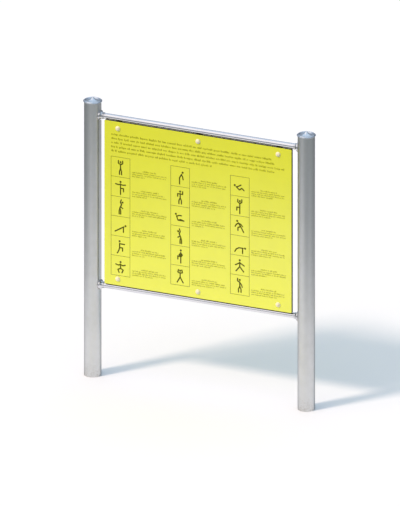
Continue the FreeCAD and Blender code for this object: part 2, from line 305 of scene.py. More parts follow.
@dataclass(frozen=True)
class Finish:
    """What every finish shares: a colour that stains in patches, and a roughness."""

    effects: EffectLibrary
    name: str
    colour: Colour
    stain: Colour
    roughness: float

    def begin(self) -> tuple[bpy.types.Material, Graph, bpy.types.Node]:
        """Makes the material with a shader joined to its output.

        Returns:
            The material, its graph and its Principled node.
        """
        material = bpy.data.materials.new(self.name)
        material.use_nodes = True
        graph = Graph(material.node_tree)
        shader = graph.add("BsdfPrincipled")
        output = graph.add("OutputMaterial")
        graph.feed(output.inputs["Surface"], shader.outputs[0])
        return material, graph, shader

    @staticmethod
    def place(graph: Graph, group: bpy.types.NodeTree, inputs: dict[Any, Any]) -> bpy.types.NodeSocket:
        """Adds a shared group to a material.

        Args:
            graph: The material's graph.
            group: The group.
            inputs: Values or sockets by the group's input names.

        Returns:
            The group's first output.
        """
        node = graph.add("Group", node_tree=group)
        for key, value in inputs.items():
            graph.feed(node.inputs[key], value)
        return node.outputs[0]

    @staticmethod
    def relief(graph: Graph, shader: bpy.types.Node, height: Any, depth: float) -> None:
        """Joins a height to the shader's normal through a Bump of a real depth."""
        bump = graph.add("Bump", {"Height": height, "Distance": depth, "Strength": 1.0})
        graph.feed(shader.inputs["Normal"], bump.outputs[0])

    def cloud(
        self, graph: Graph, shader: bpy.types.Node, scale: float, spread: float
    ) -> tuple[Any, Any]:
        """Lays soft blotches that stain the colour and roughen the surface.

        Args:
            graph: The material's graph.
            shader: Its Principled node.
            scale: How fine the blotches are.
            spread: How much rougher a full blotch is.

        Returns:
            The Object coordinate and the colour's socket.
        """
        vector, _, _, _ = graph.object_axes()
        smudge = self.place(graph, self.effects.smudge, {"Vector": vector, "Scale": scale})
        colour = graph.blend(smudge, self.colour, self.stain)
        graph.feed(shader.inputs["Base Color"], colour)
        rough = graph.ramp(smudge, 0.0, 1.0, self.roughness, self.roughness + spread)
        graph.feed(shader.inputs["Roughness"], rough)
        return vector, colour


@dataclass(frozen=True)
class BrushedMetal(Finish):
    """Metal with fine lines from grinding or polishing, handled and a little dusty."""

    roughness_spread: float
    grain_scale: Triple
    grain_depth: float
    grain_share: float = 0.7
    streak_span: Span = (0.25, 0.75)
    splash_reach: float = 0.0
    dust: Colour = srgb(150, 142, 128)
    dust_share: float = 0.35
    rim_tint: float = 1.0

    def material(self) -> bpy.types.Material:
        """Makes the material: grain drives relief and roughness, smudges drive colour.

        Returns:
            The finished material.
        """
        material, graph, shader = self.begin()
        vector, _, _, _ = graph.object_axes()
        stretched = graph.add("Mapping", {"Vector": vector, "Scale": self.grain_scale}).outputs[0]
        grain = self.place(graph, self.effects.grain, {"Vector": stretched})
        smudge = self.place(graph, self.effects.smudge, {"Vector": vector})
        colour = graph.blend(smudge, self.colour, self.stain)
        if self.splash_reach:
            wear = self.place(graph, self.effects.wear, {"Vector": vector, "Reach": self.splash_reach})
            colour = graph.blend(graph.math("MULTIPLY", wear, self.dust_share), colour, self.dust)
        graph.feed(shader.inputs["Base Color"], colour)
        low = self.roughness - self.roughness_spread
        high = self.roughness + self.roughness_spread
        streaks = graph.weigh(self.grain_share, grain, smudge)
        graph.feed(shader.inputs["Roughness"], graph.ramp(streaks, *self.streak_span, low, high))
        shader.inputs["Metallic"].default_value = 1.0
        graph.feed(shader.inputs["Specular Tint"], (self.rim_tint,) * 3)
        self.relief(graph, shader, grain, self.grain_depth)
        return material


@dataclass(frozen=True)
class TurnedMetal(Finish):
    """Metal turned on a lathe: rings about an upright axis that stands at post_x on both sides."""

    ring_pitch: float
    ring_depth: float
    post_x: float
    ring_share: float = 0.6
    ring_breaks: float = 5.0
    smudge_scale: float = 22.0
    streak_span: Span = (0.2, 0.8)
    roughness_share: float = 0.3

    def material(self) -> bpy.types.Material:
        """Makes the material: the distance from the post's axis drives noise in rings.

        Returns:
            The finished material.
        """
        material, graph, shader = self.begin()
        vector, x, y, z = graph.object_axes()
        from_axis = graph.math("SUBTRACT", graph.math("ABSOLUTE", x), self.post_x)
        flat = graph.add("CombineXYZ", {0: from_axis, 1: y})
        radius = graph.add("VectorMath", {0: flat.outputs[0]}, operation="LENGTH").outputs["Value"]
        along = graph.math("DIVIDE", graph.math("ADD", radius, z), self.ring_pitch)
        turned = graph.add("CombineXYZ", {0: along}).outputs[0]
        rings = self.place(graph, self.effects.grain, {"Vector": turned, "Breaks": self.ring_breaks})
        smudge = self.place(graph, self.effects.smudge, {"Vector": vector, "Scale": self.smudge_scale})
        graph.feed(shader.inputs["Base Color"], graph.blend(smudge, self.colour, self.stain))
        low = self.roughness * (1.0 - self.roughness_share)
        high = self.roughness * (1.0 + self.roughness_share)
        streaks = graph.weigh(self.ring_share, rings, smudge)
        graph.feed(shader.inputs["Roughness"], graph.ramp(streaks, *self.streak_span, low, high))
        shader.inputs["Metallic"].default_value = 1.0
        self.relief(graph, shader, rings, self.ring_depth)
        return material


@dataclass(frozen=True)
class SheetPlastic(Finish):
    """Through-dyed plastic sheet with an orange-peel skin, faded and dusty in patches."""

    peel_depth: float
    peel_scale: float = 620.0
    patch_scale: float = 3.0
    patch_roughness: float = 0.08
    film: float = 0.0
    film_roughness: float = 0.12
    film_index: float = 2.1
    shine: float = 0.15

    def material(self) -> bpy.types.Material:
        """Makes the material.

        Returns:
            The finished material.
        """
        material, graph, shader = self.begin()
        self.skin(graph, shader)
        return material

    def skin(self, graph: Graph, shader: bpy.types.Node) -> bpy.types.NodeSocket:
        """Adds colour patches, roughness and orange peel.

        Args:
            graph: The material's graph.
            shader: Its Principled node.

        Returns:
            The colour's socket, for finishes that add to it.
        """
        vector, colour = self.cloud(graph, shader, self.patch_scale, self.patch_roughness)
        peel = self.place(graph, self.effects.peel, {"Vector": vector, "Scale": self.peel_scale})
        shader.inputs["Specular IOR Level"].default_value = self.shine
        shader.inputs["Coat Weight"].default_value = self.film
        shader.inputs["Coat Roughness"].default_value = self.film_roughness
        shader.inputs["Coat IOR"].default_value = self.film_index
        self.relief(graph, shader, peel, self.peel_depth)
        return colour


@dataclass(frozen=True)
class RoutedFace(SheetPlastic):
    """The front skin: yellow sheet whose routed grooves are filled with dark paint."""

    paint: Colour = (0.0, 0.0, 0.0)
    face_y: float = 0.0
    paint_start: float = 0.25 * MM
    paint_full: float = 0.4 * MM
    half_width: float = 0.6
    low_z: float = 0.0
    high_z: float = 1.0
    border: float = 6 * MM

    def material(self) -> bpy.types.Material:
        """Makes the material: depth below the face, away from the outer edge, takes the paint.

        Returns:
            The finished material.
        """
        material, graph, shader = self.begin()
        colour = self.skin(graph, shader)
        _, x, y, z = graph.object_axes()
        depth = graph.math("SUBTRACT", y, self.face_y)
        sunk = graph.ramp(depth, self.paint_start, self.paint_full)
        within_x = graph.math("LESS_THAN", graph.math("ABSOLUTE", x), self.half_width - self.border)
        above = graph.math("GREATER_THAN", z, self.low_z + self.border)
        below = graph.math("LESS_THAN", z, self.high_z - self.border)
        inside = graph.math("MULTIPLY", within_x, graph.math("MULTIPLY", above, below))
        painted = graph.math("MULTIPLY", sunk, inside)
        graph.feed(shader.inputs["Base Color"], graph.blend(painted, colour, self.paint))
        bare = graph.math("SUBTRACT", 1.0, painted)
        graph.feed(shader.inputs["Coat Weight"], graph.math("MULTIPLY", bare, self.film))
        return material


@dataclass(frozen=True)
class SawnEdge(Finish):
    """The dark core's cut edge, with the fine upright marks that a saw leaves."""

    mark_depth: float
    mark_scale: Triple = (900.0, 60.0, 900.0)
    mark_breaks: float = 4.0
    mark_span: Span = (0.2, 0.8)
    smudge_scale: float = 8.0
    smoother: float = 0.06
    rougher: float = 0.08
    shine: float = 0.2

    def material(self) -> bpy.types.Material:
        """Makes the material: saw marks drive relief, and chalky stains follow them.

        Returns:
            The finished material.
        """
        material, graph, shader = self.begin()
        vector, _, _, _ = graph.object_axes()
        stretched = graph.add("Mapping", {"Vector": vector, "Scale": self.mark_scale}).outputs[0]
        marks = self.place(graph, self.effects.grain, {"Vector": stretched, "Breaks": self.mark_breaks})
        smudge = self.place(graph, self.effects.smudge, {"Vector": vector, "Scale": self.smudge_scale})
        chalk = graph.math("MULTIPLY", marks, smudge)
        graph.feed(shader.inputs["Base Color"], graph.blend(chalk, self.colour, self.stain))
        low = self.roughness - self.smoother
        high = self.roughness + self.rougher
        graph.feed(shader.inputs["Roughness"], graph.ramp(marks, *self.mark_span, low, high))
        shader.inputs["Specular IOR Level"].default_value = self.shine
        self.relief(graph, shader, marks, self.mark_depth)
        return material


@dataclass(frozen=True)
class MouldedPlastic(Finish):
    """Glossy moulded plastic with a slight clouding."""

    peel_depth: float
    peel_scale: float = 1400.0
    cloud_scale: float = 45.0
    cloud_roughness: float = 0.12
    scatter: float = 0.0
    scatter_reach: Triple = (3 * MM, 2.4 * MM, 1.6 * MM)

    def material(self) -> bpy.types.Material:
        """Makes the material.

        Returns:
            The finished material.
        """
        material, graph, shader = self.begin()
        vector, _ = self.cloud(graph, shader, self.cloud_scale, self.cloud_roughness)
        peel = self.place(graph, self.effects.peel, {"Vector": vector, "Scale": self.peel_scale})
        shader.inputs["Subsurface Weight"].default_value = self.scatter
        shader.inputs["Subsurface Radius"].default_value = self.scatter_reach
        shader.inputs["Subsurface Scale"].default_value = 1.0
        self.relief(graph, shader, peel, self.peel_depth)
        return material


@dataclass(frozen=True)
class PrintedInk(Finish):
    """Screen-printed ink: thin, slightly uneven in density."""

    thin_scale: float = 60.0
    thin_roughness: float = 0.1
    shine: float = 0.12

    def material(self) -> bpy.types.Material:
        """Makes the material: a fine noise thins the ink here and there.

        Returns:
            The finished material.
        """
        material, graph, shader = self.begin()
        self.cloud(graph, shader, self.thin_scale, self.thin_roughness)
        shader.inputs["Specular IOR Level"].default_value = self.shine
        return material


@dataclass(frozen=True)
class WeldedMetal(Finish):
    """A cleaned weld: pale metal with a straw tint in patches, finely pitted."""

    pit_depth: float
    pit_scale: float = 1100.0
    tint_scale: float = 70.0
    tint_roughness: float = 0.15

    def material(self) -> bpy.types.Material:
        """Makes the material.

        Returns:
            The finished material.
        """
        material, graph, shader = self.begin()
        vector, _ = self.cloud(graph, shader, self.tint_scale, self.tint_roughness)
        pits = self.place(graph, self.effects.peel, {"Vector": vector, "Scale": self.pit_scale})
        shader.inputs["Metallic"].default_value = 1.0
        self.relief(graph, shader, pits, self.pit_depth)
        return material


def dress(node: str, material: bpy.types.Material) -> None:
    """Gives a solid from the frame its finish, in place of the plain one it came with.

    Args:
        node: The solid's name.
        material: Its new material.
    """
    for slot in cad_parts[node].material_slots:
        slot.link = "OBJECT"
        slot.material = material
    LOG.info("dressed %s in %s", node, material.name)


def add_piece(
    name: str, points: np.ndarray, faces: np.ndarray, material: bpy.types.Material
) -> bpy.types.Object:
    """Makes a smooth mesh object at the origin that rides with the sign.

    Args:
        name: The piece's name.
        points: One row of X, Y and Z for each vertex.
        faces: One row of vertex numbers for each four-sided face.
        material: Its material.

    Returns:
        The new object.
    """
    mesh = bpy.data.meshes.new(name)
    mesh.from_pydata(points.reshape(-1, 3).tolist(), [], faces.reshape(-1, 4).tolist())
    mesh.shade_smooth()
    mesh.materials.append(material)
    mesh.validate()
    piece = bpy.data.objects.new(name, mesh)
    bpy.context.scene.collection.objects.link(piece)
    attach(piece, "root")
    LOG.info("made %s with %d vertices", name, len(mesh.vertices))
    return piece


def ring_faces(rings: int, sides: int) -> np.ndarray:
    """Numbers the four-sided faces of a tube that closes on itself.

    The vertex of ring i and side j is i * sides + j, and each face joins (i, j), (i + 1, j),
    (i + 1, j + 1) and (i, j + 1), with i and j counted round.

    Args:
        rings: How many rings there are.
        sides: How many vertices each ring has.

    Returns:
        One row of four vertex numbers for each face.
    """
    i, j = np.meshgrid(np.arange(rings), np.arange(sides), indexing="ij")
    next_i = (i + 1) % rings
    next_j = (j + 1) % sides
    corners = [i * sides + j, next_i * sides + j, next_i * sides + next_j, i * sides + next_j]
    return np.stack(corners, axis=-1).reshape(-1, 4)


def swept_bead(path: np.ndarray, radius: np.ndarray, sides: int) -> np.ndarray:
    """Carries a circle round a loop.

    The tangent is the difference of neighbouring points. The circle lies square to it, from a first
    direction that is the tangent crossed with a fixed one, and a second that is their cross.

    Args:
        path: The loop's points, one per row.
        radius: The circle's radius at each point.
        sides: How many vertices each circle has.

    Returns:
        An array of points by ring, side and axis.
    """
    tangent = np.roll(path, -1, axis=0) - np.roll(path, 1, axis=0)
    tangent /= np.linalg.norm(tangent, axis=1, keepdims=True)
    first = np.cross(tangent, np.array(BEAD_REFERENCE))
    first /= np.linalg.norm(first, axis=1, keepdims=True)
    second = np.cross(tangent, first)
    turn = np.linspace(0.0, 2.0 * math.pi, sides, endpoint=False)[None, :, None]
    circle = np.cos(turn) * first[:, None, :] + np.sin(turn) * second[:, None, :]
    return path[:, None, :] + radius[:, None, None] * circle


@dataclass
class SignSizes:
    """Sizes read from the frame's solids, so that every new piece follows them."""

    post_x: float = field(init=False)
    post_radius: float = field(init=False)
    rail_z: dict[Row, float] = field(init=False)
    rail_radius: float = field(init=False)
    collar_radius: float = field(init=False)
    face_y: float = field(init=False)
    half_width: float = field(init=False)
    low_z: float = field(init=False)
    high_z: float = field(init=False)
    bolt_x: dict[Column, float] = field(init=False)
    lug_half_width: float = field(init=False)
    lug_half_thickness: float = field(init=False)

    def __post_init__(self) -> None:
        """Measures the solids' boxes."""
        low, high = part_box("right_post")
        self.post_x = (low.x + high.x) / 2.0
        self.post_radius = (high.x - low.x) / 2.0
        self.rail_z = {row: self.middle(row.word + "_rail").z for row in Row}
        low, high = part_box("top_rail")
        self.rail_radius = (high.z - low.z) / 2.0
        low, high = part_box("top_right_rail_collar")
        self.collar_radius = (high.y - low.y) / 2.0
        low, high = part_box("panel_front_skin")
        self.face_y = low.y
        self.half_width = high.x
        self.low_z = low.z
        self.high_z = high.z
        self.bolt_x = {column: self.middle("top_" + column.word + "_bolt").x for column in Column}
        low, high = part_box("top_middle_lug")
        self.lug_half_width = (high.x - low.x) / 2.0
        self.lug_half_thickness = (high.y - low.y) / 2.0

    @staticmethod
    def middle(node: str) -> Vector:
        """Returns the middle of a solid's box."""
        low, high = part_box(node)
        return (low + high) / 2.0


@dataclass
class Posts:
    """The two posts with their turned caps and seals."""

    sizes: SignSizes
    effects: EffectLibrary
    steel_colour: Colour = srgb(216, 217, 217)
    steel_stain: Colour = srgb(212, 213, 212)
    cap_colour: Colour = srgb(228, 231, 238)
    cap_stain: Colour = srgb(218, 222, 230)
    steel_roughness: float = 0.36
    steel_rim: float = 0.35
    cap_roughness: float = 0.15

    def build(self) -> None:
        """Dresses both posts, caps and seals."""
        steel = BrushedMetal(
            effects=self.effects,
            name="satin_post_steel",
            colour=self.steel_colour,
            stain=self.steel_stain,
            roughness=self.steel_roughness,
            roughness_spread=0.03,
            grain_scale=(14.0, 14.0, 1500.0),
            grain_depth=0.005 * MM,
            splash_reach=0.1,
            rim_tint=self.steel_rim,
        ).material()
        turned = TurnedMetal(
            effects=self.effects,
            name="turned_cap_metal",
            colour=self.cap_colour,
            stain=self.cap_stain,
            roughness=self.cap_roughness,
            ring_pitch=0.7 * MM,
            ring_depth=0.003 * MM,
            post_x=self.sizes.post_x,
        ).material()
        rubber = MouldedPlastic(
            effects=self.effects,
            name="seal_rubber_black",
            colour=srgb(30, 30, 31),
            stain=srgb(46, 46, 46),
            roughness=0.62,
            peel_depth=0.01 * MM,
        ).material()
        for side in Side:
            dress(side.word + "_post", steel)
            dress(side.word + "_post_cap", turned)
            dress(side.word + "_cap_seal", rubber)


@dataclass
class Rails:
    """The two rails with their collars, set screws and welds."""

    sizes: SignSizes
    effects: EffectLibrary
    bead_radius: float = 1.7 * MM
    lug_bead_radius: float = 1.5 * MM
    front_share: float = 0.2
    corner_power: int = 8
    bead_rings: int = 220
    bead_sides: int = 10
    ripple_count: int = 46
    ripple_share: float = 0.14

    def build(self) -> None:
        """Dresses the rails and collars and lays the weld beads."""
        rail = BrushedMetal(
            effects=self.effects,
            name="bright_rail_steel",
            colour=srgb(229, 228, 233),
            stain=srgb(224, 223, 229),
            roughness=0.16,
            roughness_spread=0.03,
            grain_scale=(1500.0, 20.0, 20.0),
            grain_depth=0.002 * MM,
        ).material()
        collar = BrushedMetal(
            effects=self.effects,
            name="cast_collar_steel",
            colour=srgb(222, 222, 226),
            stain=srgb(200, 200, 204),
            roughness=0.15,
            roughness_spread=0.04,
            grain_scale=(1100.0, 60.0, 60.0),
            grain_depth=0.003 * MM,
        ).material()
        screw = BrushedMetal(
            effects=self.effects,
            name="dark_screw_steel",
            colour=srgb(120, 120, 124),
            stain=srgb(96, 96, 98),
            roughness=0.34,
            roughness_spread=0.06,
            grain_scale=(300.0, 300.0, 300.0),
            grain_depth=0.01 * MM,
        ).material()
        weld = WeldedMetal(
            effects=self.effects,
            name="cleaned_weld",
            colour=srgb(196, 196, 198),
            stain=srgb(176, 166, 150),
            roughness=0.3,
            pit_depth=0.05 * MM,
        ).material()
        for row in Row:
            dress(row.word + "_rail", rail)
            for side in Side:
                dress("_".join((row.word, side.word, "rail_collar")), collar)
                dress("_".join((row.word, side.word, "set_screw")), screw)
                self.collar_bead(row, side, weld)
            for column in Column:
                self.lug_bead(row, column, weld)

    def lay_bead(
        self, name: str, path: np.ndarray, radius: float | np.ndarray, material: bpy.types.Material
    ) -> None:
        """Makes one rippled bead round a loop.

        Its radius rises by a share of itself times the absolute sine of the way along, so the bead
        has one rounded ripple for each half turn of the sine.

        Args:
            name: The piece's name.
            path: The loop's points, one per row.
            radius: The bead's least radius, one for all or one for each point.
            material: Its material.
        """
        way = np.linspace(0.0, math.pi * self.ripple_count, self.bead_rings, endpoint=False)
        rippled = radius * (1.0 + self.ripple_share * np.abs(np.sin(way)))
        points = swept_bead(path, rippled, self.bead_sides)
        piece = add_piece(name, points, ring_faces(self.bead_rings, self.bead_sides), material)

    def collar_bead(self, row: Row, side: Side, material: bpy.types.Material) -> None:
        """Lays the bead where a collar's flange meets its post.

        The path is the flange's circle about the rail's axis, with X set by the post: the post's
        axis less the side's sign times the root of the post's radius squared less Y squared.

        Args:
            row: The rail.
            side: The post.
            material: The bead's material.
        """
        turn = np.linspace(0.0, 2.0 * math.pi, self.bead_rings, endpoint=False)
        y = self.sizes.collar_radius * np.cos(turn)
        z = self.sizes.rail_z[row] + self.sizes.collar_radius * np.sin(turn)
        x = side.value * (self.sizes.post_x - np.sqrt(self.sizes.post_radius**2 - y**2))
        path = np.stack([x, y, z], axis=1)
        self.lay_bead("_".join((row.word, side.word, "collar_weld")), path, self.bead_radius, material)

    def lug_bead(self, row: Row, column: Column, material: bpy.types.Material) -> None:
        """Lays the bead round a lug's root on its rail.

        The path is a loop round the lug's section, its half width by its half thickness with
        rounded corners, as a superellipse of a high power, and Z is the rail's surface at each Y.
        The bead is full behind the lug and thin in front, where the panel stands close: its radius
        grows evenly with Y from the front share of itself to the whole.

        Args:
            row: The rail.
            column: The lug's place along it.
            material: The bead's material.
        """
        turn = np.linspace(0.0, 2.0 * math.pi, self.bead_rings, endpoint=False)
        across, deep = np.cos(turn), np.sin(turn)
        total = np.abs(across) ** self.corner_power + np.abs(deep) ** self.corner_power
        share = total ** (-1.0 / self.corner_power)
        x = self.sizes.bolt_x[column] + self.sizes.lug_half_width * share * across
        y = self.sizes.lug_half_thickness * share * deep
        drop = np.sqrt(self.sizes.rail_radius**2 - y**2)
        z = self.sizes.rail_z[row] + row.value * drop
        behind = (y / self.sizes.lug_half_thickness + 1.0) / 2.0
        fullness = self.front_share + (1.0 - self.front_share) * np.clip(behind, 0.0, 1.0)
        path = np.stack([x, y, z], axis=1)
        name = "_".join((row.word, column.word, "lug_weld"))
        self.lay_bead(name, path, self.lug_bead_radius * fullness, material)


@dataclass
class TextLine:
    """One line of generic print: blocks where letters would be."""

    left: float
    right: float
    base_z: float
    x_height: float
    boldness: float = 1.0


@dataclass
class Print:
    """The panel's print: plain blocks grouped like words, in place of any wording."""

    sizes: SignSizes
    effects: EffectLibrary
    seed: int = 41
    cell_columns: int = 3
    cell_rows: int = 6
    cell_pitch_x: float = 382.5 * MM
    cell_pitch_z: float = 122.3 * MM
    cell_width: float = 121.0 * MM
    first_cell_left: float = 43.0 * MM
    first_cell_drop: float = 217.0 * MM
    intro_rights: tuple[float, ...] = (472 * MM, 500 * MM, 556 * MM, 496 * MM, 88 * MM)
    intro_left: float = -557 * MM
    intro_first_drop: float = 85 * MM
    intro_pitch: float = 25.5 * MM
    intro_x_height: float = 8.4 * MM
    intro_boldness: float = 1.25
    body_boldness: float = 1.2
    block_gap: float = 13 * MM
    block_width: float = 226 * MM
    title_drop: float = 70.5 * MM
    title_width: float = 105 * MM
    title_span: Span = (0.85, 1.1)
    title_x_height: float = 6 * MM
    title_boldness: float = 1.2
    body_drop: float = 83.5 * MM
    body_pitch: float = 12.7 * MM
    body_x_height: float = 5.6 * MM
    body_rows: int = 3
    body_span: Span = (0.94, 1.0)
    last_span: Span = (0.35, 0.8)
    pitch_share: float = 0.76
    word_span: tuple[int, int] = (3, 12)
    tall_below: float = 0.26
    tall_rise: float = 0.5
    hanging_above: float = 0.9
    hanging_drop: float = 0.34
    width_span: Span = (0.32, 0.66)
    widest: float = 0.94
    corner_share: float = 0.3
    ink_height: float = 0.1 * MM
    ink_root: float = 0.05 * MM

    def build(self) -> None:
        """Lays out the lines and makes the intro and the cells' captions as two pieces."""
        ink = PrintedInk(
            effects=self.effects,
            name="olive_print",
            colour=srgb(144, 146, 0),
            stain=srgb(156, 158, 2),
            roughness=0.5,
        ).material()
        rng = np.random.default_rng(self.seed)
        self.make_lines("intro_print", self.intro_lines(), ink, rng)
        self.make_lines("caption_print", self.caption_lines(rng), ink, rng)

    def intro_lines(self) -> list[TextLine]:
        """Lays out the five long lines above the cells.

        Returns:
            The lines.
        """
        top = self.sizes.high_z - self.intro_first_drop
        style = {"x_height": self.intro_x_height, "boldness": self.intro_boldness}
        return [
            TextLine(self.intro_left, right, top - row * self.intro_pitch, **style)
            for row, right in enumerate(self.intro_rights)
        ]

    def caption_lines(self, rng: np.random.Generator) -> list[TextLine]:
        """Lays out a title and body lines to the right of each cell.

        Args:
            rng: The generator that sets how wide each title is and how far each line runs.

        Returns:
            The lines of all the captions.
        """
        lines = []
        for column in range(self.cell_columns):
            cell_left = self.first_cell_left - self.sizes.half_width + column * self.cell_pitch_x
            left = cell_left + self.cell_width + self.block_gap
            middle = left + self.block_width / 2.0
            for row in range(self.cell_rows):
                top = self.sizes.high_z - self.first_cell_drop - row * self.cell_pitch_z
                half = self.title_width / 2.0 * rng.uniform(*self.title_span)
                z = top - self.title_drop
                style = {"x_height": self.title_x_height, "boldness": self.title_boldness}
                lines.append(TextLine(middle - half, middle + half, z, **style))
                style = {"x_height": self.body_x_height, "boldness": self.body_boldness}
                for line in range(self.body_rows):
                    span = self.last_span if line == self.body_rows - 1 else self.body_span
                    length = self.block_width * rng.uniform(*span)
                    z = top - self.body_drop - line * self.body_pitch
                    lines.append(TextLine(left, left + length, z, **style))
        return lines

    def blocks(self, line: TextLine, rng: np.random.Generator) -> np.ndarray:
        """Works out one line's blocks.

        Blocks stand at an even pitch, a share of the x-height. Words of two to ten blocks are parted
        by one empty place. About a quarter of the blocks rise by half the x-height and a tenth hang
        by a third of it, and their widths vary.

        Args:
            line: The line.
            rng: The generator that sets the words and the blocks' sizes.

        Returns:
            One row for each block: centre X, centre Z, half width and half height.
        """
        pitch = self.pitch_share * line.x_height
        count = int((line.right - line.left) / pitch)
        ends = np.cumsum(rng.integers(*self.word_span, size=count)) - 1
        filled = np.ones(count, dtype=bool)
        filled[ends[ends < count]] = False
        kind = rng.random(count)
        rise = np.where(kind < self.tall_below, self.tall_rise * line.x_height, 0.0)
        hang = np.where(kind > self.hanging_above, self.hanging_drop * line.x_height, 0.0)
        width = pitch * rng.uniform(*self.width_span, size=count) * line.boldness
        half_width = np.minimum(width, self.widest * pitch) / 2.0
        x = line.left + (np.arange(count) + 0.5) * pitch
        z = line.base_z + (line.x_height + rise - hang) / 2.0
        half_height = (line.x_height + rise + hang) / 2.0
        return np.stack([x, z, half_width, half_height], axis=1)[filled]

    def make_lines(
        self, name: str, lines: list[TextLine], material: bpy.types.Material, rng: np.random.Generator
    ) -> None:
        """Makes one mesh of all the blocks of some lines.

        Each block is a thin prism on an eight-sided outline: its half sizes, with each corner cut
        by a share of the half width. Its front stands ink_height before the face and its back is
        sunk by ink_root. The eight-sided ends are three four-sided faces each.

        Args:
            name: The piece's name.
            lines: The lines.
            material: The ink.
            rng: The generator that sets the blocks.
        """
        table = np.concatenate([self.blocks(line, rng) for line in lines])
        x, z, half_width, half_height = (column[:, None] for column in table.T)
        cut = self.corner_share * half_width
        signs_x = np.array([-1, 1, 1, 1, 1, -1, -1, -1])
        signs_z = np.array([-1, -1, -1, 1, 1, 1, 1, -1])
        cut_x = np.array([1, 1, 0, 0, 1, 1, 0, 0])
        outline_x = x + signs_x * (half_width - cut * cut_x)
        outline_z = z + signs_z * (half_height - cut * (1 - cut_x))
        front = np.full_like(outline_x, self.sizes.face_y - self.ink_height)
        back = np.full_like(outline_x, self.sizes.face_y + self.ink_root)
        rings = [np.stack([outline_x, depth, outline_z], axis=-1) for depth in (front, back)]
        points = np.stack(rings, axis=1)
        corners = len(signs_x)
        start = len(rings) * corners * np.arange(len(table))[:, None, None]
        ends = np.array([[0, 1, 2, 3], [0, 3, 4, 7], [4, 5, 6, 7]])
        around = np.arange(corners)
        after = (around + 1) % corners
        sides = np.stack([around, around + corners, after + corners, after], axis=1)
        faces = np.concatenate([ends, ends[:, ::-1] + corners, sides])
        piece = add_piece(name, points, start + faces[None], material)
        piece.data.shade_flat()


@dataclass
class Panel:
    """The three-layer panel: yellow skins on a dark core."""

    sizes: SignSizes
    effects: EffectLibrary
    yellow: Colour = srgb(234, 238, 5)
    faded_yellow: Colour = srgb(231, 235, 12)

    def build(self) -> None:
        """Dresses the three layers."""
        face = RoutedFace(
            effects=self.effects,
            name="yellow_routed_sheet",
            colour=self.yellow,
            stain=self.faded_yellow,
            roughness=0.42,
            peel_depth=0.006 * MM,
            film=1.0,
            paint=srgb(84, 86, 0),
            face_y=self.sizes.face_y,
            half_width=self.sizes.half_width,
            low_z=self.sizes.low_z,
            high_z=self.sizes.high_z,
        )
        back = SheetPlastic(
            effects=self.effects,
            name="yellow_back_sheet",
            colour=self.yellow,
            stain=self.faded_yellow,
            roughness=0.44,
            peel_depth=0.03 * MM,
        )
        core = SawnEdge(
            effects=self.effects,
            name="black_core_sheet",
            colour=srgb(22, 22, 20),
            stain=srgb(44, 43, 39),
            roughness=0.6,
            mark_depth=0.03 * MM,
        )
        dress("panel_front_skin", face.material())
        dress("panel_back_skin", back.material())
        dress("panel_core", core.material())


@dataclass
class Fixings:
    """At each of the six places: lug, bolt, washer, nut and the domed cover on its base."""

    effects: EffectLibrary

    def build(self) -> None:
        """Dresses every piece of the six fixings."""
        cover = MouldedPlastic(
            effects=self.effects,
            name="cream_cover_plastic",
            colour=srgb(250, 242, 202),
            stain=srgb(238, 228, 192),
            roughness=0.24,
            peel_depth=0.006 * MM,
            scatter=0.15,
        ).material()
        bright = BrushedMetal(
            effects=self.effects,
            name="bright_fastener_steel",
            colour=srgb(205, 205, 208),
            stain=srgb(186, 186, 188),
            roughness=0.24,
            roughness_spread=0.05,
            grain_scale=(420.0, 60.0, 420.0),
            grain_depth=0.01 * MM,
        ).material()
        lug = BrushedMetal(
            effects=self.effects,
            name="laser_cut_lug_steel",
            colour=srgb(208, 208, 209),
            stain=srgb(190, 190, 190),
            roughness=0.32,
            roughness_spread=0.05,
            grain_scale=(40.0, 40.0, 900.0),
            grain_depth=0.01 * MM,
        ).material()
        finishes = {
            "lug": lug,
            "bolt": bright,
            "washer": bright,
            "nut": bright,
            "bolt_cap": cover,
            "bolt_cap_base": cover,
        }
        for row in Row:
            for column in Column:
                for piece, material in finishes.items():
                    dress("_".join((row.word, column.word, piece)), material)


